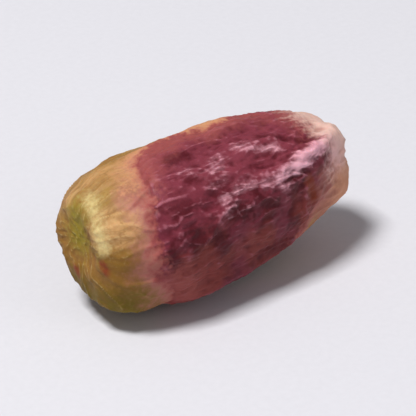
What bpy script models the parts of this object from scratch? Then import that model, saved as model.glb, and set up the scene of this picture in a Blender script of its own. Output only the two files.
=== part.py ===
# A pistachio kernel out of its shell, in its papery skin, lying on the small flat of its belly.
#
# Frame: the long axis runs along X, from the blunt seed-scar end at -X to the tip at +X, and Z is up.
# The origin is the middle of the kernel's footprint, on the surface that it rests on.
# Lengths are in millimetres and become metres when the mesh is finished.
# A bearing is an angle round the long axis in degrees: 0 is the top, 90 the front (-Y),
# 180 the belly and -90 the back (+Y). A station is a place along the axis, from -1 to 1.
# A stretch is a run of stations: where a form starts, is full, begins to fade, and ends.

import math
import random
from collections import namedtuple

import bmesh
import bpy
import numpy as np
from mathutils import Matrix, Vector, noise

MILLIMETRE = 0.001

# Overall size of the kernel as it lies
LENGTH = 18.0
WIDTH = 9.0
HEIGHT = 8.8

# Body: full at the blunt end, tapered towards the tip, and bent up a little
BLUNT_FULLNESS = 4.0
TIP_FULLNESS = 3.0
HALVES_BLEND = 2.5
TIP_TAPER = 0.17
TAPER_START = -0.25
TIP_LIFT = 0.65
BODY_PITCH = 1.2

# Its section is not round: two and three broad lobes
LOBE_PAIR = 0.014
LOBE_PAIR_BEARING = 171.0
LOBE_THREE = 0.049
LOBE_THREE_BEARING = 62.0

# The belly, which bows up towards the blunt end and has a smooth flat where the kernel rests
BELLY_BEARING = 180.0
BELLY_BOW = 0.75
BELLY_BOW_START = 0.25
BELLY_BOW_DEPTH = 0.5
BELLY_SMOOTH_SPREAD = 24.0
BELLY_SMOOTH_STATION = -0.15
BELLY_SMOOTH_REACH = 0.5
REST_DEPTH = 0.20

# The cheek: the flattened side
CHEEK_BEARING = 50.0
CHEEK_SPREAD = 46.0
CHEEK_FLATTENING = 0.28
CHEEK_FLAT_STRETCH = (-0.85, -0.20, 0.60, 1.00)

# The thick purple skin on the cheek, a little above the thin skin; its start bows back on each side
THICK_SKIN_STEP = 0.14
THICK_SKIN_BEARING = 62.0
THICK_SKIN_SPREAD = 87.0
THICK_SKIN_START = -0.66
THICK_SKIN_START_BEARING = 68.0
THICK_SKIN_START_BOW = 0.31
THICK_SKIN_BOW_TURN = 100.0
THICK_SKIN_END = 0.72
THICK_SKIN_SOFT_STATIONS = 0.05
THICK_SKIN_SOFT_BEARINGS = 6.0

# Seed scar in the blunt end, and its lip
SCAR_RADIUS = 1.15
SCAR_DEPTH = 0.36
SCAR_LIP = 0.14
SCAR_LIP_RADIUS = 2.0
SCAR_LIP_WIDTH = 0.63
SCAR_BEARING = -20.0
SCAR_OFFSET = 0.9
SCAR_STATIONS = (0.50, 0.95)

# Pleats where the skin is gathered in to the tip, in line with the vein
VEIN_BEARING = 45.0
TIP_PLEATS = 5
TIP_PLEAT_DEPTH = 0.16
TIP_PLEAT_STRETCH = (0.55, 0.80, 0.97, 1.00)

# Where the long folds and the shrivelling die away at both ends
FOLD_STRETCH = (-0.99, -0.82, 0.82, 0.99)
FOLD_FADE = 0.25

# Folds between the seam and the cheek, round both flanks; each pair is the least and the most
FLANK_FOLDS = 10
FLANK_START = 112.0
FLANK_END = 348.0
FLANK_SHIFTS = (-5.0, 5.0)
FLANK_WIDTHS = (5.0, 8.0)
FLANK_HEIGHTS = (0.18, 0.36)
FLANK_FOLD_STARTS = (-0.95, -0.45)
FLANK_FOLD_ENDS = (0.40, 0.95)
FLANK_SWAYS = (3.0, 8.0)
FLANK_WAVES = (0.7, 1.6)
FLANK_SEED = 11

# Shrivelling of the whole skin: broad lumps and a finer rumple, drawn out along the kernel
LUMP_HEIGHT = 0.24
LUMP_SIZE = 3.4
LUMP_PLACE = (3.1, 0.4, 7.7)
RUMPLE_HEIGHT = 0.14
RUMPLE_SIZE = 1.15
GRAIN_STRETCH = 2.6

# Mesh
CELLS_PER_SIDE = 28
MERIDIAN_POINTS = 400
CUT_TOLERANCE = 1e-7

KERNEL_TAN = (0.46, 0.28, 0.10, 1.0)
KERNEL_ROUGHNESS = 0.5

Swelling = namedtuple("Swelling", "bearing spread station reach height")
Collar = namedtuple("Collar", "station width depth bearing sway")
Fold = namedtuple("Fold", "bearing width height start end sway waves phase")

# Where the seed leaves bulge: on the lower side of the tip, at the blunt end's corners, and along the
# keel that runs back from the tip; the last one is a hollow at the top of the tip
SWELLINGS = (
    Swelling(bearing=122, spread=34, station=0.84, reach=0.14, height=0.62),
    Swelling(bearing=-35, spread=40, station=-0.84, reach=0.14, height=0.13),
    Swelling(bearing=136, spread=30, station=-0.84, reach=0.18, height=0.52),
    Swelling(bearing=VEIN_BEARING + 3, spread=18, station=0.50, reach=0.38, height=0.26),
    Swelling(bearing=-20, spread=30, station=0.66, reach=0.20, height=-0.19),
)

# Shallow furrows that ring the blunt end, each deepest at its own bearing
COLLARS = (
    Collar(station=-0.84, width=0.050, depth=0.20, bearing=40, sway=0.030),
    Collar(station=-0.62, width=0.045, depth=0.11, bearing=75, sway=0.020),
)

# Wrinkles on the cheek; the first is the vein that runs back from the tip
CHEEK_WRINKLES = (
    Fold(bearing=VEIN_BEARING, width=4.6, height=0.38, start=-0.05, end=0.91, sway=6, waves=1.06, phase=0.97),
    Fold(bearing=24, width=5.0, height=0.20, start=-0.12, end=0.52, sway=4, waves=1.6, phase=2.0),
    Fold(bearing=66, width=5.0, height=0.13, start=-0.35, end=0.35, sway=6, waves=1.4, phase=4.0),
    Fold(bearing=92, width=6.5, height=0.16, start=-0.10, end=0.80, sway=5, waves=1.2, phase=1.0),
    Fold(bearing=-2, width=6.0, height=0.18, start=-0.45, end=0.60, sway=4, waves=1.3, phase=3.0),
)

# The line where the two seed leaves meet: an open furrow on the back, with a swollen shoulder each side
SEAM = Fold(bearing=-92, width=7.0, height=-0.55, start=-0.95, end=1.15, sway=5, waves=0.7, phase=0.6)
SEAM_SHOULDER = 0.22
SEAM_SHOULDER_AWAY = 15.4
SEAM_SHOULDER_WIDTH = 8.4


def ease(low, high, value):
    """0 up to low, 1 from high on, and a smooth rise between them."""
    share = min(1.0, max(0.0, (value - low) / (high - low)))
    return share * share * (3.0 - 2.0 * share)


def within(stretch, station):
    """1 in the full part of a stretch, 0 outside it, and smooth between them."""
    start, full, fade, end = stretch
    return ease(start, full, station) * (1.0 - ease(fade, end, station))


def hump(distance, width):
    """1 at no distance, falling away smoothly over about one width."""
    return math.exp(-((distance / width) ** 2))


def turn(bearing, other):
    """The signed angle from one bearing to another, in degrees, between -180 and 180."""
    return (bearing - other + 180.0) % 360.0 - 180.0


def station_of(place):
    """Where a place lies along the axis."""
    return place.x * 2.0 / LENGTH


def body_meridian():
    """The body's outline from the blunt end to the tip, at even steps: stations and radii, as shares."""
    angles = np.linspace(math.pi, 0.0, MERIDIAN_POINTS)
    cosines, sines = np.cos(angles), np.sin(angles)
    toward_tip = 0.5 + 0.5 * np.tanh(HALVES_BLEND * cosines)
    power = 2.0 / (BLUNT_FULLNESS + (TIP_FULLNESS - BLUNT_FULLNESS) * toward_tip)
    stations = np.sign(cosines) * np.abs(cosines) ** power
    radii = np.abs(sines) ** power * (1.0 - TIP_TAPER * toward_tip * (stations - TAPER_START))
    steps = np.hypot(np.diff(stations) * LENGTH, np.diff(radii) * WIDTH)
    travelled = np.concatenate([[0.0], np.cumsum(steps)])
    even = np.linspace(0.0, travelled[-1], MERIDIAN_POINTS)
    return np.interp(even, travelled, stations), np.interp(even, travelled, radii)


def body_point(direction, meridian):
    """Where the smooth body lies in a direction from its middle."""
    share = math.acos(max(-1.0, min(1.0, -direction.x))) / math.pi
    even = np.linspace(0.0, 1.0, MERIDIAN_POINTS)
    station = float(np.interp(share, even, meridian[0]))
    radius = float(np.interp(share, even, meridian[1]))
    angle = math.atan2(-direction.y, direction.z)
    pair = LOBE_PAIR * math.cos(2.0 * (angle - math.radians(LOBE_PAIR_BEARING)))
    three = LOBE_THREE * math.cos(3.0 * (angle - math.radians(LOBE_THREE_BEARING)))
    radius *= 1.0 + pair + three
    return Vector(
        (
            station * LENGTH / 2.0,
            -radius * math.sin(angle) * WIDTH / 2.0,
            radius * math.cos(angle) * HEIGHT / 2.0,
        )
    )


def fold_centre(fold, station):
    """The bearing of a fold's crest where it passes a station."""
    return fold.bearing + fold.sway * math.sin(fold.waves * math.pi * station + fold.phase)


def fold_strength(fold, station):
    """How much of a fold's height is left at a station."""
    fade = FOLD_FADE * (fold.end - fold.start)
    return within((fold.start, fold.start + fade, fold.end - fade, fold.end), station)


def fold_relief(fold, station, bearing):
    """The height of one long fold at a place; a furrow's is negative."""
    across = hump(turn(bearing, fold_centre(fold, station)), fold.width)
    return fold.height * across * fold_strength(fold, station)


def flank_folds():
    """The folds round both flanks, spread by rule with small random shifts."""
    draw = random.Random(FLANK_SEED)
    folds = []
    for index in range(FLANK_FOLDS):
        share = (index + 0.5) / FLANK_FOLDS
        folds.append(
            Fold(
                bearing=FLANK_START + (FLANK_END - FLANK_START) * share + draw.uniform(*FLANK_SHIFTS),
                width=draw.uniform(*FLANK_WIDTHS),
                height=draw.uniform(*FLANK_HEIGHTS),
                start=draw.uniform(*FLANK_FOLD_STARTS),
                end=draw.uniform(*FLANK_FOLD_ENDS),
                sway=draw.uniform(*FLANK_SWAYS),
                waves=draw.uniform(*FLANK_WAVES),
                phase=draw.uniform(0.0, 2.0 * math.pi),
            )
        )
    return folds


def seam_relief(station, bearing):
    """The furrow and its two shoulders."""
    away = abs(turn(bearing, fold_centre(SEAM, station)))
    shoulders = SEAM_SHOULDER * hump(away - SEAM_SHOULDER_AWAY, SEAM_SHOULDER_WIDTH)
    return fold_relief(SEAM, station, bearing) + shoulders * fold_strength(SEAM, station)


def swelling_relief(swelling, station, bearing):
    """The height of one swelling of the body at a place."""
    across = hump(turn(bearing, swelling.bearing), swelling.spread)
    return swelling.height * across * hump(station - swelling.station, swelling.reach)


def cheek_relief(station, bearing):
    """The cheek's flattening."""
    across = hump(turn(bearing, CHEEK_BEARING), CHEEK_SPREAD)
    return -CHEEK_FLATTENING * across * within(CHEEK_FLAT_STRETCH, station)


def thick_skin_relief(station, bearing):
    """The step up on to the thick skin of the cheek."""
    soft = THICK_SKIN_SOFT_STATIONS
    bow = (turn(bearing, THICK_SKIN_START_BEARING) / THICK_SKIN_BOW_TURN) ** 2
    start = THICK_SKIN_START + THICK_SKIN_START_BOW * bow
    along = within((start - soft, start + soft, THICK_SKIN_END - soft, THICK_SKIN_END + soft), station)
    away = abs(turn(bearing, THICK_SKIN_BEARING)) - THICK_SKIN_SPREAD
    across = 1.0 - ease(-THICK_SKIN_SOFT_BEARINGS, THICK_SKIN_SOFT_BEARINGS, away)
    return THICK_SKIN_STEP * along * across


def scar_relief(place):
    """The seed scar: a shallow round pit with a lip."""
    angle = math.radians(SCAR_BEARING)
    away = math.hypot(place.y + math.sin(angle) * SCAR_OFFSET, place.z - math.cos(angle) * SCAR_OFFSET)
    pit = SCAR_DEPTH * hump(away, SCAR_RADIUS)
    lip = SCAR_LIP * hump(away - SCAR_LIP_RADIUS, SCAR_LIP_WIDTH)
    return (lip - pit) * ease(*SCAR_STATIONS, -station_of(place))


def collar_relief(collar, station, bearing):
    """One shallow furrow round the blunt end."""
    round_it = math.radians(turn(bearing, collar.bearing))
    centre = collar.station + collar.sway * math.sin(2.0 * round_it)
    return -collar.depth * (0.5 + 0.5 * math.cos(round_it)) * hump(station - centre, collar.width)


def tip_relief(station, bearing):
    """The pleats at the tip."""
    across = 0.5 - 0.5 * math.cos(math.radians(TIP_PLEATS * (bearing - VEIN_BEARING)))
    return -TIP_PLEAT_DEPTH * across * within(TIP_PLEAT_STRETCH, station)


def shrivel_relief(place):
    """The lumps and the rumple of the skin."""
    drawn_out = Vector((place.x / GRAIN_STRETCH, place.y, place.z))
    lumps = LUMP_HEIGHT * noise.noise(drawn_out / LUMP_SIZE + Vector(LUMP_PLACE))
    return lumps + RUMPLE_HEIGHT * noise.noise(drawn_out / RUMPLE_SIZE)


def skin_relief(place, folds):
    """How far the skin stands out of the smooth body at a place, in millimetres."""
    station = station_of(place)
    bearing = math.degrees(math.atan2(-place.y, place.z))
    on_belly = hump(turn(bearing, BELLY_BEARING), BELLY_SMOOTH_SPREAD)
    on_belly *= hump(station - BELLY_SMOOTH_STATION, BELLY_SMOOTH_REACH)
    creased = sum(fold_relief(fold, station, bearing) for fold in folds) * within(FOLD_STRETCH, station)
    height = (creased + shrivel_relief(place)) * (1.0 - on_belly)
    height += sum(swelling_relief(swelling, station, bearing) for swelling in SWELLINGS)
    height += sum(collar_relief(collar, station, bearing) for collar in COLLARS)
    height += cheek_relief(station, bearing)
    height += thick_skin_relief(station, bearing)
    height += seam_relief(station, bearing) * within(FOLD_STRETCH, station)
    height += scar_relief(place)
    return height + tip_relief(station, bearing)


def bend_lift(place):
    """How far the kernel's bend raises the half towards the tip, and the belly towards the blunt end."""
    station = station_of(place)
    toward_blunt = max(0.0, BELLY_BOW_START - station)
    belly = BELLY_BOW * toward_blunt**2 * ease(BELLY_BOW_DEPTH, 1.0, -place.z * 2.0 / HEIGHT)
    return TIP_LIFT * ease(0.0, 1.0, station) ** 2 + belly


def round_cube():
    """A cube cut into even cells and blown up to a ball, so that it has no poles."""
    mesh = bmesh.new()
    bmesh.ops.create_cube(mesh, size=2.0)
    bmesh.ops.subdivide_edges(mesh, edges=mesh.edges[:], cuts=CELLS_PER_SIDE - 1, use_grid_fill=True)
    for vertex in mesh.verts:
        vertex.co = Vector([math.tan(value * math.pi / 4.0) for value in vertex.co]).normalized()
    return mesh


def shape_kernel(mesh):
    """Draws the ball out to the body, raises the skin's relief along its normals, and bends it."""
    meridian = body_meridian()
    for vertex in mesh.verts:
        vertex.co = body_point(vertex.co, meridian)
    mesh.normal_update()
    folds = [*CHEEK_WRINKLES, *flank_folds()]
    raised = [vertex.co + vertex.normal * skin_relief(vertex.co, folds) for vertex in mesh.verts]
    for vertex, place in zip(mesh.verts, raised):
        vertex.co = place + Vector((0.0, 0.0, bend_lift(place)))


def fit_to_size(mesh):
    """Tips the kernel up as it lies and brings it to its size, with the belly just below the floor."""
    bmesh.ops.rotate(mesh, verts=mesh.verts[:], matrix=Matrix.Rotation(math.radians(-BODY_PITCH), 3, "Y"))
    places = np.array([vertex.co for vertex in mesh.verts])
    low, high = places.min(axis=0), places.max(axis=0)
    size = np.array((LENGTH, WIDTH, HEIGHT + REST_DEPTH))
    middle = np.array(((low[0] + high[0]) / 2.0, (low[1] + high[1]) / 2.0, low[2]))
    fitted = (places - middle) * size / (high - low) - np.array((0.0, 0.0, REST_DEPTH))
    for vertex, place in zip(mesh.verts, fitted):
        vertex.co = Vector(place) * MILLIMETRE


def cut_resting_flat(mesh):
    """Takes off what lies below the floor and closes the belly with one flat face."""
    geometry = mesh.verts[:] + mesh.edges[:] + mesh.faces[:]
    cut = bmesh.ops.bisect_plane(
        mesh, geom=geometry, dist=CUT_TOLERANCE, plane_co=(0, 0, 0), plane_no=(0, 0, -1), clear_outer=True
    )
    rim = [item for item in cut["geom_cut"] if isinstance(item, bmesh.types.BMEdge)]
    bmesh.ops.contextual_create(mesh, geom=rim)
    bmesh.ops.recalc_face_normals(mesh, faces=mesh.faces[:])


def skin_material():
    """The thin tan skin, as one plain colour."""
    material = bpy.data.materials.new("kernel_skin")
    material.use_nodes = True
    shader = material.node_tree.nodes["Principled BSDF"]
    shader.inputs["Base Color"].default_value = KERNEL_TAN
    shader.inputs["Roughness"].default_value = KERNEL_ROUGHNESS
    shader.inputs["Metallic"].default_value = 0.0
    return material


def build():
    """Makes the kernel, the only object of the scene."""
    for old in list(bpy.data.objects):
        bpy.data.objects.remove(old)
    mesh = round_cube()
    shape_kernel(mesh)
    fit_to_size(mesh)
    cut_resting_flat(mesh)
    data = bpy.data.meshes.new("kernel")
    mesh.to_mesh(data)
    mesh.free()
    data.shade_smooth()
    data.materials.append(skin_material())
    kernel = bpy.data.objects.new("kernel", data)
    bpy.context.scene.collection.objects.link(kernel)


build()
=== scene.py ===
# A shelled pistachio kernel in its papery skin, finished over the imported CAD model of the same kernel.
# The fine modelling is done at 1 unit to the millimetre, and is then brought back to metres.
import math

import bmesh
import bpy
import numpy as np
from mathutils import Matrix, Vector, noise


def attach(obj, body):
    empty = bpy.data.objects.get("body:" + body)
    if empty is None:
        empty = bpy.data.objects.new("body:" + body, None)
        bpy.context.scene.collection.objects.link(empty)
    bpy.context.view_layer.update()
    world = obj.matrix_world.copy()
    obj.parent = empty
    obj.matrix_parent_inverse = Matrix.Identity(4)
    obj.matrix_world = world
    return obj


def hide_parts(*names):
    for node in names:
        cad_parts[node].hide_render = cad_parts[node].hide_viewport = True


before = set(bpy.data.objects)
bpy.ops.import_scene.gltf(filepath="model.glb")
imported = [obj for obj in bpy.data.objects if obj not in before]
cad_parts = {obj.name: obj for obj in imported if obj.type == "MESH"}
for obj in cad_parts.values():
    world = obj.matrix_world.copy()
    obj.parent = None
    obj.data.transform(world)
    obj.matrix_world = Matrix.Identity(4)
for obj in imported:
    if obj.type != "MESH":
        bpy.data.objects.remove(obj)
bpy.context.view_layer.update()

print("frame loaded")

mmPerMetre = 1000.0
skinSeed = 2
noise.seed_set(skinSeed)    # noise_vector takes its offsets from this, so each run gives the same skin


def ease(low, high, value):
    # 0 below low, 1 above high, smooth between
    share = min(1.0, max(0.0, (value - low) / (high - low)))
    return share * share * (3.0 - 2.0 * share)


def hump(away, width):
    # 1 at no distance, fading over about one width
    return math.exp(-((away / width) ** 2))


def atLeast(low, share):
    # low where the share is 0, rising to 1 where it is 1
    return low + (1.0 - low) * share


def turn(bearing, other):
    # signed angle between two bearings, -180 to 180 degrees
    return (bearing - other + 180.0) % 360.0 - 180.0


def linear(hexColour):
    # sRGB hex to the linear values that Blender works in
    parts = [int(hexColour[i : i + 2], 16) / 255.0 for i in (1, 3, 5)]
    return tuple(p / 12.92 if p <= 0.04045 else ((p + 0.055) / 1.055) ** 2.4 for p in parts) + (1.0,)


def addNode(tree, kind, sockets=None, **settings):
    # one node, its settings, and what goes into its sockets: a value, or another node's output
    made = tree.nodes.new("ShaderNode" + kind)
    for name, value in settings.items():
        setattr(made, name, value)
    for name, value in (sockets or {}).items():
        if isinstance(value, bpy.types.NodeSocket):
            tree.links.new(value, made.inputs[name])
        else:
            made.inputs[name].default_value = value
    return made


def selectOnly(piece):
    bpy.ops.object.select_all(action="DESELECT")
    piece.select_set(True)
    bpy.context.view_layer.objects.active = piece


# The CAD kernel's form, copied and made fine enough to carry wrinkles
kernelMesh = {
    "mergeWithin": 0.004,     # mm
    "subdivisions": 2,        # gives cells of about 0.08 mm
    "flatHeight": 0.01,       # mm; faces lower than this that face down are the resting flat
    "flatFacing": -0.99,      # how far down they face, -1 being straight down
}

kernel = bpy.data.objects.new("kernelInSkin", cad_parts["kernel"].data.copy())
bpy.context.scene.collection.objects.link(kernel)
selectOnly(kernel)
bpy.ops.mesh.customdata_custom_splitnormals_clear()
kernel.scale = (mmPerMetre,) * 3
bpy.ops.object.transform_apply(location=False, rotation=False, scale=True)

bpy.ops.object.mode_set(mode="EDIT")
bpy.ops.mesh.select_all(action="SELECT")
bpy.ops.mesh.remove_doubles(threshold=kernelMesh["mergeWithin"])
bpy.ops.mesh.tris_convert_to_quads(face_threshold=math.pi, shape_threshold=math.pi)
bpy.ops.mesh.select_all(action="DESELECT")
edited = bmesh.from_edit_mesh(kernel.data)
for face in edited.faces:
    low = face.calc_center_median().z < kernelMesh["flatHeight"]
    face.select = low and face.normal.z < kernelMesh["flatFacing"]
bmesh.update_edit_mesh(kernel.data)
bpy.ops.mesh.dissolve_faces()
bpy.ops.object.mode_set(mode="OBJECT")

finer = kernel.modifiers.new("finer", "SUBSURF")
finer.levels = finer.render_levels = kernelMesh["subdivisions"]
bpy.ops.object.modifier_apply(modifier="finer")
print("kernel mesh", len(kernel.data.polygons), "faces")

# Places on the kernel. A station runs from -1 at the blunt end to 1 at the tip. A bearing goes
# round the long axis in degrees: 0 is the top, 90 the front, 180 the belly, -90 the back.
axisLine = {
    "halfLength": 9.0,        # mm
    "height": 4.3,            # mm, of the axis at mid-length
    "rise": 0.19,             # mm from mid-length to the tip, as the kernel is tipped
    "tipLift": 0.65,          # mm, the bend of the half towards the tip
    "mmPerDegree": 0.077,     # round the girth
}


def whereOn(place):
    station = place.x / axisLine["halfLength"]
    height = axisLine["height"] + axisLine["rise"] * station
    height += axisLine["tipLift"] * ease(0.0, 1.0, station) ** 2
    return station, math.degrees(math.atan2(-place.y, place.z - height))


# The purple skin covers the cheek. Its start and end are stations, its top and bottom are bearings.
# Each side's softness is the half width of its edge, in mm, and a bow is in stations over bowDegrees.
purplePatch = {
    "bowDegrees": 100.0,
    "start": -0.68, "startBearing": 68.0, "startBow": 0.31, "startSoftness": 0.60,
    "end": 0.70, "endBearing": 50.0, "endBow": 0.80, "endSoftness": 0.80,
    "top": -10.5, "topWave": 4.0, "topWaveLength": 0.56, "topCrest": -0.02, "topSoftness": 0.50,
    "tongueStart": 0.34, "tongueEnd": 0.60, "tongue": 42.0,    # where it reaches over the back
    "bottom": 148.0, "bottomSoftness": 0.9,
    "cornerSharpness": 0.75,
    "raggedSize": 1.6, "raggedBy": 1.3,
    "fraySize": 0.42, "frayBy": 0.6,
    "deepest": 6.0,
}


def insidePatch(place, station, bearing):
    # about 1 and more where the skin is fully purple, -1 and less where it is tan
    patch = purplePatch
    half, perDegree, bowed = axisLine["halfLength"], axisLine["mmPerDegree"], patch["bowDegrees"]
    start = patch["start"] + patch["startBow"] * (turn(bearing, patch["startBearing"]) / bowed) ** 2
    end = patch["end"] - patch["endBow"] * (max(0.0, bearing - patch["endBearing"]) / bowed) ** 2
    top = patch["top"] - patch["tongue"] * ease(patch["tongueStart"], patch["tongueEnd"], station)
    top += patch["topWave"] * math.cos(math.tau * (station - patch["topCrest"]) / patch["topWaveLength"])
    reaches = (
        (station - start) * half / patch["startSoftness"],
        (end - station) * half / patch["endSoftness"],
        turn(bearing, top) * perDegree / patch["topSoftness"],
        turn(patch["bottom"], bearing) * perDegree / patch["bottomSoftness"],
    )
    ragged = patch["raggedBy"] * noise.noise(place / patch["raggedSize"])
    ragged += patch["frayBy"] * noise.noise(place / patch["fraySize"])
    # the least of the four reaches, blended where two are alike, so that the patch has round corners
    sharpness = patch["cornerSharpness"]
    inside = -math.log(sum(math.exp(-sharpness * reach) for reach in reaches)) / sharpness
    return max(-patch["deepest"], min(patch["deepest"], inside + ragged))


# The skin's relief in mm: sizes across, how many times longer they are lengthwise, and heights.
# What ends in OnTan is the share of a height that is left on the tan skin.
wrinkles = {
    "thickSkin": (-0.8, 0.8),             # from tan to purple, as insidePatch gives it
    "foldSize": 1.5, "foldStretch": 1.7, "foldHeight": 0.15, "foldOnTan": 0.25,
    "foldPatchSize": 2.6, "foldPatchShift": (4.2, 1.1, 0.3), "foldPatchEdge": (-0.30, 0.25),
    "foldBetweenPatches": 0.35,
    "creaseSize": 0.50, "creaseStretch": 2.8, "creaseHeight": 0.045, "creaseOnTan": 0.4,
    "ridgeShape": (1.0, 2.1, 3, 1.0, 2.0),    # fractal dimension, lacunarity, octaves, offset, gain
    "netSize": 0.90, "netStretch": 2.1, "netWidth": 0.30, "netHeight": 0.07, "netOnTan": 0.3,
    "netWarp": 0.55, "netWarpFineness": 1.1,
    "veinSize": 0.85, "veinStretch": 6.0, "veinHeight": 0.10, "veinSharpness": 3.0,
    "veinWander": 0.35, "veinWanderSize": 2.0, "veinLostOnPurple": 0.65,
    "pleatCount": 9, "pleatHeight": 0.055, "pleatWander": 16.0, "pleatWanderSize": 1.6,
    "pleatFrom": (0.66, 0.86), "pleatUntil": (0.88, 0.98),    # stations
    "edgeStep": 0.05, "edgeRise": (-0.15, 0.25), "settle": -0.05,
    "lumpSize": 0.9, "lumpHeight": 0.05,
    "grainSize": 0.25, "grainHeight": 0.02,
    "wornAndHighlitHeight": 0.08, "wornAndHighlitCreases": 0.7, "bruisedHeight": -0.05,
}


# The skin is drawn in to the seed scar and to the tip, so its wrinkles radiate from them
gathering = {
    "scar": (0.25, 5.15), "tip": (0.0, 5.10),     # mm, across and up
    "scarGirth": 4.3, "tipGirth": 3.4,            # mm from there, where the end's face turns to the side
    "middle": 0.6,                                # mm, kept plain in the middle
    "from": 0.72, "full": 0.95,                   # stations
    "power": 0.30,                                # less than 1 spreads the middle of the pattern out
    "calm": 0.35,                                 # the share by which wrinkles are lower there
}


def onEnd(place):
    # 0 along the kernel, 1 on the face of either end
    return ease(gathering["from"], gathering["full"], abs(place.x) / axisLine["halfLength"])


def onSkin(place):
    # where the skin's patterns are read for a place: its own place, but unrolled round the nearer end
    end = "scar" if place.x < 0.0 else "tip"
    across, up = gathering[end]
    centre = Vector((place.x, across, up))
    share = ((place - centre).length + gathering["middle"]) / gathering[end + "Girth"]
    unrolled = centre + (place - centre) * share ** (gathering["power"] - 1.0)
    return place.lerp(unrolled, onEnd(place))


def drawnOut(place, stretch, size):
    return Vector((place.x / stretch, place.y, place.z)) / size


def ridged(place, kind):
    # folds that meet in sharp crests, about 1 high
    drawn = drawnOut(place, wrinkles[kind + "Stretch"], wrinkles[kind + "Size"])
    return noise.ridged_multi_fractal(drawn, *wrinkles["ridgeShape"]) - 1.0


def netAt(place):
    # 1 on the sharp ridges of an uneven net, falling to 0 in its hollows
    drawn = drawnOut(place, wrinkles["netStretch"], wrinkles["netSize"])
    drawn += noise.noise_vector(drawn * wrinkles["netWarpFineness"]) * wrinkles["netWarp"]
    near = noise.voronoi(drawn)[0]
    return math.exp(-(near[1] - near[0]) / wrinkles["netWidth"])


def shrivelAt(place, station, bearing, purple, worn):
    # how far the skin stands out there, in mm
    drawnIn = onSkin(place)
    thick = ease(*wrinkles["thickSkin"], purple)

    # folds in patches, creases and a net, all lower on the tan skin and on the ends
    spread = place / wrinkles["foldPatchSize"] + Vector(wrinkles["foldPatchShift"])
    patchy = ease(*wrinkles["foldPatchEdge"], noise.noise(spread))
    folded = atLeast(wrinkles["foldBetweenPatches"], patchy)
    height = wrinkles["foldHeight"] * ridged(drawnIn, "fold") * folded
    height *= atLeast(wrinkles["foldOnTan"], thick)
    creased = atLeast(wrinkles["creaseOnTan"], thick) + wrinkles["wornAndHighlitCreases"] * worn
    height += wrinkles["creaseHeight"] * ridged(drawnIn, "crease") * creased
    height += wrinkles["netHeight"] * netAt(drawnIn) * atLeast(wrinkles["netOnTan"], thick)
    height *= 1.0 - gathering["calm"] * onEnd(place)

    # the purple skin's thickness, lumps and grain
    height += wrinkles["settle"] + wrinkles["edgeStep"] * ease(*wrinkles["edgeRise"], purple)
    height += wrinkles["lumpHeight"] * noise.noise(place / wrinkles["lumpSize"])
    height += wrinkles["grainHeight"] * noise.noise(place / wrinkles["grainSize"])

    # long veins, and pleats round the tip
    lengthwise = drawnOut(drawnIn, wrinkles["veinStretch"], wrinkles["veinSize"])
    lengthwise += noise.noise_vector(place / wrinkles["veinWanderSize"]) * wrinkles["veinWander"]
    vein = max(0.0, 1.0 - wrinkles["veinSharpness"] * abs(noise.noise(lengthwise)))
    height += wrinkles["veinHeight"] * vein * vein * (1.0 - wrinkles["veinLostOnPurple"] * thick)
    atTip = ease(*wrinkles["pleatFrom"], station) * (1.0 - ease(*wrinkles["pleatUntil"], station))
    wander = wrinkles["pleatWander"] * noise.noise(place / wrinkles["pleatWanderSize"])
    pleat = math.radians(bearing + wander) * wrinkles["pleatCount"]
    height += wrinkles["pleatHeight"] * atTip * (0.5 + 0.5 * math.cos(pleat))
    return height
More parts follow.
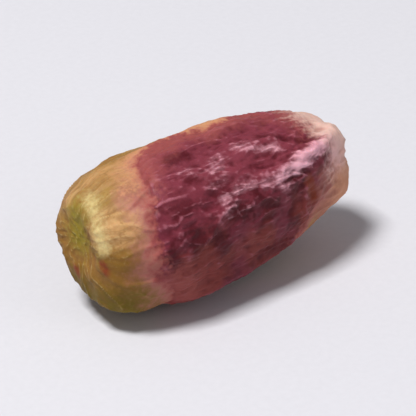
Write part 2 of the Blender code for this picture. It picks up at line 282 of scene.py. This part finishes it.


# Marks on this kernel's skin, some of them painted highlights. Each is a stroke: from, to and radius in mm,
# and its strength.
marks = {
    # the vein that runs back from the tip, a ridge above it and small folds: painted highlights along their
    # crests, which are also a little paler
    "worn": (
        ((5.60, -3.10, 7.50), (4.50, -3.42, 7.35), 0.45, 1.05),
        ((4.80, -3.36, 7.36), (3.20, -3.67, 7.10), 0.50, 1.25),
        ((3.60, -3.60, 7.16), (1.90, -3.80, 6.95), 0.42, 0.95),
        ((1.90, -3.80, 6.95), (1.00, -3.75, 6.93), 0.36, 0.65),
        ((2.70, -3.85, 6.70), (2.10, -3.92, 6.50), 0.45, 0.60),
        ((0.30, -3.50, 7.03), (-0.80, -3.52, 7.04), 0.42, 0.50),
        ((-1.70, -3.70, 6.85), (-1.80, -4.22, 6.10), 0.48, 0.42),
        ((-2.30, -3.05, 7.55), (-1.20, -3.00, 7.60), 0.50, 0.34),
        ((-1.40, -4.02, 6.50), (-0.50, -4.08, 6.35), 0.45, 0.34),
        ((0.60, -1.75, 8.32), (2.80, -2.50, 7.98), 0.50, 0.56),
        ((-3.40, -1.90, 8.20), (-1.60, -2.50, 7.98), 0.46, 0.36),
        ((-1.80, -2.50, 7.98), (-0.60, -1.90, 8.22), 0.50, 0.45),
        ((-4.55, -1.65, 8.20), (-4.05, -1.85, 8.20), 0.42, 0.36),
    ),
    # dark, sunken places
    "bruised": (
        ((-5.75, -4.40, 5.00), (-5.40, -4.40, 4.30), 0.50, 1.00),
        ((-4.20, -4.30, 6.00), (-3.60, -4.36, 5.40), 0.50, 0.90),
        ((-2.90, -4.33, 5.60), (-2.20, -4.20, 4.00), 0.55, 0.80),
        ((0.70, -3.00, 7.65), (1.30, -3.10, 7.50), 0.27, 0.65),
        ((-5.50, -1.45, 8.08), (-5.10, -1.50, 8.12), 0.32, 0.85),
        ((0.40, -4.15, 5.90), (1.60, -4.15, 5.50), 0.50, 0.50),
        ((0.90, -3.90, 2.70), (2.60, -3.80, 2.50), 0.70, 0.60),
        ((2.50, -1.45, 8.40), (4.90, -2.60, 7.75), 0.32, 0.75),
        ((-3.20, -0.85, 8.50), (-2.40, -1.00, 8.50), 0.52, 1.00),
        ((-3.20, -2.60, 7.92), (-2.70, -2.65, 7.88), 0.40, 0.60),
    ),
    # small red-brown stains
    "stained": (
        ((-8.82, 0.21, 3.10), (-8.80, 0.10, 2.90), 0.38, 0.75),
        ((-8.78, -2.30, 4.60), (-8.70, -2.45, 4.20), 0.36, 0.80),
        ((4.10, -3.82, 6.10), (4.55, -3.78, 4.90), 0.42, 0.95),
        ((5.60, 3.00, 6.60), (3.90, 3.45, 6.20), 0.36, 0.38),
        ((-3.50, 3.80, 6.30), (-2.40, 4.05, 5.80), 0.34, 0.45),
    ),
    # the raised rim of the blunt end: paler skin with a painted highlight along it
    "paleAndHighlit": (
        ((-8.10, -0.10, 7.65), (-8.55, -1.00, 7.25), 0.60, 0.60),
        ((-8.68, -1.28, 7.00), (-8.81, -1.88, 6.40), 0.55, 0.55),
        ((-8.81, -1.88, 6.40), (-8.77, -2.30, 5.70), 0.60, 0.72),
        ((-8.20, 1.00, 7.52), (-7.70, 0.40, 7.85), 0.50, 0.15),
    ),
    # the face of the blunt end, where the skin is thin over the green seed leaves
    "thin": (
        ((-8.60, 0.30, 6.40), (-8.50, 0.20, 5.00), 1.00, 0.85),
    ),
}


def strokesOver(places, strokes):
    # how strongly the strokes cover each place, 0 to 1
    found = np.zeros(len(places))
    for start, end, radius, strength in strokes:
        way = np.subtract(end, start)
        share = np.clip((places - start) @ way / (way @ way), 0.0, 1.0)
        away = np.linalg.norm(places - start - share[:, None] * way, axis=1)
        found = np.maximum(found, strength * np.exp(-((away / radius) ** 2)))
    return found


smudge = {"size": 0.55, "by": 0.09}    # mm, makes the strokes' edges uneven
restingFlat = {"bearing": 180.0, "halfWidth": 24.0, "station": -0.10, "halfLength": 0.50}    # kept smooth

smudged = [
    vertex.co + noise.noise_vector(vertex.co / smudge["size"]) * smudge["by"]
    for vertex in kernel.data.vertices
]
marked = {name: strokesOver(np.array(smudged), strokes) for name, strokes in marks.items()}
purples, moved = [], []
for vertex, worn, bruised in zip(kernel.data.vertices, marked["worn"], marked["bruised"]):
    station, bearing = whereOn(vertex.co)
    purple = insidePatch(vertex.co, station, bearing)
    onFlat = hump(turn(bearing, restingFlat["bearing"]), restingFlat["halfWidth"])
    onFlat *= hump(station - restingFlat["station"], restingFlat["halfLength"])
    height = shrivelAt(vertex.co, station, bearing, purple, worn) * (1.0 - onFlat)
    height += wrinkles["wornAndHighlitHeight"] * worn + wrinkles["bruisedHeight"] * bruised
    place = vertex.co + vertex.normal * height
    place.z = max(0.0, place.z)
    purples.append(purple)
    moved.append(place)
kernel.data.vertices.foreach_set("co", np.array(moved, np.float32).ravel())
kernel.data.update()
unrolled = np.array([onSkin(place) for place in moved], np.float32)
kernel.data.attributes.new("onSkin", "FLOAT_VECTOR", "POINT").data.foreach_set("vector", unrolled.ravel())
print("skin shrivelled")


def pointsOf(mesh):
    places = np.empty(len(mesh.vertices) * 3, np.float32)
    mesh.vertices.foreach_get("co", places)
    return places.reshape(-1, 3)


def standingOut(piece, passes):
    # how far each point stands out of the piece smoothed over, in mm; less than 0 in a furrow
    over = piece.modifiers.new("over", "SMOOTH")
    over.iterations = passes
    evaluated = piece.evaluated_get(bpy.context.evaluated_depsgraph_get())
    smoothed = pointsOf(evaluated.to_mesh())
    evaluated.to_mesh_clear()
    piece.modifiers.remove(over)
    normals = np.empty(len(piece.data.vertices) * 3, np.float32)
    piece.data.vertices.foreach_get("normal", normals)
    return ((pointsOf(piece.data) - smoothed) * normals.reshape(-1, 3)).sum(axis=1)


def evened(heights):
    # 0 at the middle height, 1 at the height that 5 in 100 points pass
    middle = np.median(heights)
    return (heights - middle) / (np.percentile(heights, 95) - middle)


# What the colours follow is kept on the mesh: the patch, the marks, and crests at three widths
smoothingPasses = {"fineCrest": 9, "foldCrest": 45, "broadCrest": 110}
followed = {"purple": np.array(purples), **marked}
followed.update({name: evened(standingOut(kernel, passes)) for name, passes in smoothingPasses.items()})
for name, values in followed.items():
    attribute = kernel.data.attributes.new(name, "FLOAT", "POINT")
    attribute.data.foreach_set("value", values.astype(np.float32))

kernel.scale = (1.0 / mmPerMetre,) * 3
bpy.ops.object.transform_apply(location=False, rotation=False, scale=True)
bpy.ops.object.shade_smooth()
print("colour guides kept")

seedCoat = {
    "colours": {
        "tanLight": "#c89a68", "tanDeep": "#98713c", "tanShadedBelow": "#80591c", "oliveShadedBelow": "#665610",
        "paleAndHighlit": "#d9c58a", "thin": "#8d7b29", "vein": "#80592f",
        "pinkEdge": "#a86a60", "peachEdge": "#c58a68", "redEdge": "#9a4f4a",
        "purple": "#742c39", "purpleDeep": "#50121b", "purpleMottleAndLitTop": "#833845",
        "purpleLow": "#80362f", "purplePaleCrestAndHighlight": "#a6606d",
        "worn": "#efb2bf", "stained": "#82361f", "paleTip": "#e2bcae", "brownTip": "#cf9272",
    },
    # noise about 0: times longer lengthwise, size in mm, and detail
    "patterns": {
        "fray": (1.0, 0.22, 2.0), "speck": (1.0, 0.30, 2.0), "sheen": (1.0, 0.60, 3.0),
        "smallBlotch": (1.0, 0.70, 3.0), "blotch": (1.0, 1.50, 3.0), "cloud": (1.0, 2.40, 3.0),
        "longBlotch": (4.0, 1.90, 3.0), "longCloud": (4.0, 2.60, 3.0),
        "hairline": (8.0, 0.40, 2.0), "tipStreak": (4.0, 0.45, 4.0),
    },
    # sums of what is above, of places in mm and of the mesh's guides, each times a number
    "sums": {
        "frayedHeight": (("height", 1.0), ("fray", 1.5)),
        "frayedPurple": (("purple", 1.0), ("fray", 1.4)),
        "frayedLength": (("lengthwise", 1.0), ("fray", 1.5), ("cloud", 4.0)),
        "tipwards": (("lengthwise", 1.0), ("height", 0.15), ("fray", 1.2), ("tipStreak", 3.0)),
        "crest": (("fineCrest", 1.0), ("foldCrest", 1.0)),
        "frayedWornAndHighlit": (("worn", 1.0), ("fray", 0.4), ("tipStreak", 1.0)),
        "frayedBruised": (("bruised", 1.0), ("fray", 0.7)),
        "frayedStained": (("stained", 1.0), ("fray", 0.7)),
        "frayedPaleAndHighlit": (("paleAndHighlit", 1.0), ("fray", 0.7)),
        "frayedThin": (("thin", 1.0), ("fray", 0.7)),
    },
    # each mask reads one of these, and is 0 at the first value and 1 at the second
    "masks": {
        "longBlotches": ("longBlotch", -0.12, 0.12), "longClouds": ("longCloud", 0.0, 0.16),
        "blotches": ("blotch", -0.08, 0.10), "smallBlotches": ("smallBlotch", 0.0, 0.18),
        "clouds": ("cloud", -0.12, 0.12), "specks": ("speck", 0.13, 0.21),
        "hairlineOver": ("hairline", -0.05, 0.0), "hairlineUnder": ("hairline", 0.05, 0.0),
        "netVeins": ("veinAway", 0.09, 0.0),
        # low and lowest are lower places by height, where the tan skin gets painted shade
        "low": ("frayedHeight", 7.3, 4.6), "lowest": ("frayedHeight", 4.0, 2.0),
        # high is the top by height, where the purple skin gets painted light
        "high": ("height", 6.6, 8.4), "fairlyHigh": ("height", 3.0, 7.5), "lowCheek": ("height", 6.6, 4.4),
        "upperEdge": ("frayedHeight", 7.6, 8.3), "lowerEdge": ("frayedHeight", 4.6, 3.2),
        "bluntHalf": ("lengthwise", -1.5, -4.5), "tipHalf": ("frayedLength", 1.5, 5.5),
        # crests of the fine wrinkles and of the folds, where highlights are painted
        "fineRidgeHighlight": ("fineCrest", 0.8, 2.6), "foldRidges": ("foldCrest", 0.3, 1.5),
        # the hollows of the folds and the broad furrows, where shade is painted
        "foldHollowShade": ("foldCrest", 0.0, -1.4), "broadHollowShade": ("broadCrest", 0.0, -1.5),
        "crests": ("crest", -4.5, 1.5), "sharpCrests": ("fineCrest", -0.2, 2.0),
        "pinkRim": ("frayedPurple", -3.4, -0.6), "redRim": ("frayedPurple", -1.4, -0.2),
        "inside": ("frayedPurple", -0.6, 0.4), "redBand": ("frayedPurple", 3.2, 0.6),
        "tip": ("tipwards", 6.1, 8.0), "upperTip": ("frayedHeight", 4.4, 6.8),
        "nearTip": ("tipwards", 4.6, 6.6), "underVein": ("height", 6.9, 5.7),
        "backSide": ("across", -0.5, 2.5), "frontSide": ("across", -1.8, -3.0),
        "worn": ("frayedWornAndHighlit", 0.2, 1.1), "wornWide": ("frayedWornAndHighlit", 0.05, 0.6),
        "bruised": ("frayedBruised", 0.15, 0.85), "stained": ("frayedStained", 0.15, 0.85),
        "paleAndHighlit": ("frayedPaleAndHighlit", 0.0, 1.1), "thin": ("frayedThin", 0.05, 0.95),
    },
    # stacks of colour: the lowest, then each one over it, with its masks and its strength
    "stacks": {
        "tanSkin": ("tanLight", (
            # partly painted shade: the tan skin grows darker towards the bottom, by height, and also
            # browner and more olive
            ("tanDeep", "longBlotches", 1.0), ("tanShadedBelow", "low", 0.85), ("oliveShadedBelow", "lowest", 0.85),
            ("brownTip", "tipHalf low", 0.8), ("thin", "longClouds", 0.35),
            ("vein", "netVeins clouds", 0.45), ("vein", "hairlineOver hairlineUnder", 0.30),
            # painted shade: the vein colour darkens the hollows of the folds and the broad furrows
            ("vein", "foldHollowShade", 0.5), ("vein", "broadHollowShade", 0.5), ("vein", "specks", 0.35),
            # painted highlight: a pale cream is laid along the blunt end's rim
            # painted highlight: the crests of the fine wrinkles on the tan skin are made paler
            ("thin", "thin", 1.0), ("paleAndHighlit", "fineRidgeHighlight", 0.25), ("paleAndHighlit", "paleAndHighlit", 1.0),
        )),
        "purpleSkin": ("purple", (
            ("purpleDeep", "blotches", 1.0), ("purpleMottleAndLitTop", "smallBlotches", 0.5),
            # painted light: the purple is made lighter on the top of the cheek, where the light falls
            ("purpleMottleAndLitTop", "high", 0.7), ("purpleLow", "lowCheek clouds", 0.85),
            # painted highlight on slightly paler skin: the crests of the folds and wrinkles are made
            # lighter pink, most on the higher, lit parts
            # painted shade: purpleDeep darkens the hollows of the folds
            ("purpleDeep", "foldHollowShade", 0.8), ("purplePaleCrestAndHighlight", "foldRidges", 0.35),
            ("purplePaleCrestAndHighlight", "foldRidges fairlyHigh", 0.75), ("purplePaleCrestAndHighlight", "fineRidgeHighlight", 0.35),
            # painted highlight: the pale streaks along the vein and the folds' crests
            ("purpleDeep", "bruised", 0.85), ("worn", "worn crests", 0.95),
            ("worn", "wornWide sharpCrests", 0.75),
        )),
        "rim": ("pinkEdge", (("peachEdge", "upperEdge", 1.0),)),
        "tipSkin": ("brownTip", (
            # painted light: the front of the upper tip is made paler with the highlight colour
            ("paleTip", "upperTip", 1.0), ("worn", "frontSide upperTip", 0.4),
            # painted shade: redEdge darkens the hollows of the tip's pleats and folds
            ("redEdge", "foldHollowShade", 0.55), ("tanDeep", "backSide", 0.8),
        )),
        "skin": ("tanSkin", (
            ("rim", "pinkRim", 1.0), ("redEdge", "redRim", 1.0), ("purpleSkin", "inside", 1.0),
            ("redEdge", "redBand inside upperEdge", 0.75),
            ("redEdge", "redBand inside lowerEdge bluntHalf", 0.75),
            ("pinkEdge", "nearTip underVein", 0.75), ("tipSkin", "tip", 0.9),
            ("stained", "stained", 0.85),
        )),
    },
    "veinNetStretch": 4.0,    # the net's cells are 1 mm wide, and this many times longer
    "veinNetWander": 1.6,     # mm, the size of the drift that makes the net uneven
    "roughTan": 0.52, "roughPurple": 0.44, "roughPatches": 0.14, "sheenSwing": 0.2,
    "grainSize": 0.14,        # mm, drawn coarser than real skin's, so that it shows
    "grainDepth": 0.00003,    # m
    "grainStrength": 0.5,
    # dry plant skin: less shiny than plastic, and a little light passes into it
    "coat": {
        "IOR": 1.40, "Specular IOR Level": 0.22,
        "Subsurface Weight": 0.10, "Subsurface Radius": (1.0, 0.4, 0.2), "Subsurface Scale": 0.0004,
    },
}
noiseMiddle = 0.5    # what a noise texture gives on average


def paperySkin():
    # Dried seed coat: as thin as paper and close to the seed leaves, dull, with a slight waxy shine
    material = bpy.data.materials.new("pistachioSeedCoat")
    material.use_nodes = True
    tree = material.node_tree
    tree.nodes.clear()
    place = addNode(tree, "TexCoord").outputs["Object"]
    mm = addNode(tree, "Mapping", {"Vector": place, "Scale": (mmPerMetre,) * 3}).outputs[0]
    apart = addNode(tree, "SeparateXYZ", {0: mm}).outputs
    reads = {"lengthwise": apart["X"], "across": apart["Y"], "height": apart["Z"]}
    for name in followed:
        reads[name] = addNode(tree, "Attribute", attribute_name=name).outputs["Fac"]
    skin = addNode(tree, "Attribute", attribute_name="onSkin").outputs["Vector"]
    for name, (stretch, size, detail) in seedCoat["patterns"].items():
        sized = addNode(tree, "Mapping", {
            "Vector": skin if stretch > 1.0 else mm,
            "Scale": (1.0 / size / stretch, 1.0 / size, 1.0 / size),
        })
        spots = addNode(tree, "TexNoise", {"Vector": sized.outputs[0], "Scale": 1.0, "Detail": detail})
        about0 = addNode(tree, "Math", {0: spots.outputs["Fac"], 1: noiseMiddle}, operation="SUBTRACT")
        reads[name] = about0.outputs[0]

    # an uneven net of veins, longer than it is wide
    wanderScale, drawnScale = 1.0 / seedCoat["veinNetWander"], 1.0 / seedCoat["veinNetStretch"]
    wander = addNode(tree, "TexNoise", {"Vector": mm, "Scale": wanderScale}).outputs["Color"]
    drawn = addNode(tree, "Mapping", {"Vector": skin, "Scale": (drawnScale, 1.0, 1.0)}).outputs[0]
    drifted = addNode(tree, "VectorMath", {0: drawn, 1: wander}, operation="ADD").outputs[0]
    cells = addNode(tree, "TexVoronoi", {"Vector": drifted, "Scale": 1.0}, feature="DISTANCE_TO_EDGE")
    reads["veinAway"] = cells.outputs["Distance"]

    for name, parts in seedCoat["sums"].items():
        total = 0.0
        for read, by in parts:
            more = addNode(tree, "Math", {0: reads[read], 1: by, 2: total}, operation="MULTIPLY_ADD")
            total = more.outputs[0]
        reads[name] = total
    masks = {}
    for name, (read, none, full) in seedCoat["masks"].items():
        mask = addNode(tree, "MapRange", {"Value": reads[read], "From Min": none, "From Max": full},
            interpolation_type="SMOOTHSTEP")
        masks[name] = mask.outputs["Result"]
    colours = {name: linear(value) for name, value in seedCoat["colours"].items()}
    for name, (lowest, layers) in seedCoat["stacks"].items():
        colour = colours[lowest]
        for over, where, share in layers:
            for mask in where.split():
                share = addNode(tree, "Math", {0: share, 1: masks[mask]}, operation="MULTIPLY").outputs[0]
            mixed = addNode(tree, "Mix", {0: share, 6: colour, 7: colours[over]}, data_type="RGBA")
            colour = mixed.outputs[2]
        colours[name] = colour

    base = addNode(tree, "MapRange", {"Value": reads["purple"], "From Min": -1.0, "From Max": 1.0,
        "To Min": seedCoat["roughTan"], "To Max": seedCoat["roughPurple"]})
    dull = addNode(tree, "MapRange", {"Value": reads["sheen"], "From Min": -seedCoat["sheenSwing"],
        "From Max": seedCoat["sheenSwing"], "To Min": 0.0, "To Max": seedCoat["roughPatches"]})
    rough = addNode(tree, "Math", {0: base.outputs[0], 1: dull.outputs[0]}, operation="ADD")
    grain = addNode(tree, "TexNoise", {"Vector": mm, "Scale": 1.0 / seedCoat["grainSize"], "Detail": 4.0})
    bump = addNode(tree, "Bump", {"Height": grain.outputs["Fac"], "Strength": seedCoat["grainStrength"],
        "Distance": seedCoat["grainDepth"]})
    coat = addNode(tree, "BsdfPrincipled", {
        "Base Color": colours["skin"], "Roughness": rough.outputs[0], "Normal": bump.outputs[0],
        **seedCoat["coat"],
    })
    addNode(tree, "OutputMaterial", {"Surface": coat.outputs[0]})
    return material


kernel.data.materials.clear()
kernel.data.materials.append(paperySkin())
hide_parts("kernel")
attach(kernel, "root")
print("skin coloured")

studio = {
    "floorSize": 1.6, "floorColour": "#d5d4d9", "floorRoughness": 0.8,
    "fibreSize": 0.0004, "fibreColour": "#d2d1d6", "fibreRange": (0.3, 0.7),
    "skyColour": "#efeef3", "skyStrength": 0.26,
    "keyFrom": (-0.38, 0.02, 0.92), "keyAway": 0.55, "keySize": 0.13, "keyPower": 3.3,
    "fillFrom": (0.45, -0.80, 0.45), "fillAway": 0.70, "fillSize": 0.40, "fillPower": 0.46,
}


def paleBoard():
    # Matt white board: a faint mottle of paper fibre
    material = bpy.data.materials.new("mattWhiteBoard")
    material.use_nodes = True
    tree = material.node_tree
    tree.nodes.clear()
    place = addNode(tree, "TexCoord").outputs["Object"]
    fibre = addNode(tree, "TexNoise", {"Vector": place, "Scale": 1.0 / studio["fibreSize"], "Detail": 4.0})
    none, full = studio["fibreRange"]
    share = addNode(tree, "MapRange", {"Value": fibre.outputs["Fac"], "From Min": none, "From Max": full})
    colour = addNode(tree, "Mix", {0: share.outputs[0], 6: linear(studio["floorColour"]),
        7: linear(studio["fibreColour"])}, data_type="RGBA")
    board = addNode(tree, "BsdfPrincipled", {"Base Color": colour.outputs[2],
        "Roughness": studio["floorRoughness"]})
    addNode(tree, "OutputMaterial", {"Surface": board.outputs[0]})
    return material


bpy.ops.mesh.primitive_plane_add(size=studio["floorSize"])
floor = bpy.context.object
floor.name = "paleFloor"
floor.data.materials.append(paleBoard())

world = bpy.data.worlds.new("paleRoom")
bpy.context.scene.world = world
world.use_nodes = True
sky = world.node_tree.nodes["Background"].inputs
sky["Color"].default_value = linear(studio["skyColour"])
sky["Strength"].default_value = studio["skyStrength"]

for name in ("key", "fill"):
    place = Vector(studio[name + "From"]).normalized() * studio[name + "Away"]
    bpy.ops.object.light_add(type="AREA", location=place, rotation=place.to_track_quat("Z", "Y").to_euler())
    light = bpy.context.object
    light.name = name + "Light"
    light.data.size, light.data.energy = studio[name + "Size"], studio[name + "Power"]

# The photograph looks down by 30 degrees on the cheek, with the blunt end nearer
photoView = {
    "azimuth": -37.0, "elevation": 30.0,
    "lens": 200.0,
    "away": 0.130,
    "lookAt": (0.0, 0.0, 0.0040),
    "clipFrom": 0.001, "clipTo": 10.0,
}
azimuth, elevation = math.radians(photoView["azimuth"]), math.radians(photoView["elevation"])
level = math.cos(elevation)
back = Vector((math.sin(azimuth) * level, -math.cos(azimuth) * level, math.sin(elevation)))
bpy.ops.object.camera_add(
    location=Vector(photoView["lookAt"]) + back * photoView["away"],
    rotation=back.to_track_quat("Z", "Y").to_euler(),
)
camera = bpy.context.object
camera.data.lens = photoView["lens"]
camera.data.clip_start, camera.data.clip_end = photoView["clipFrom"], photoView["clipTo"]
bpy.context.scene.camera = camera
bpy.context.scene.view_settings.view_transform = "Standard"
print("stage set")
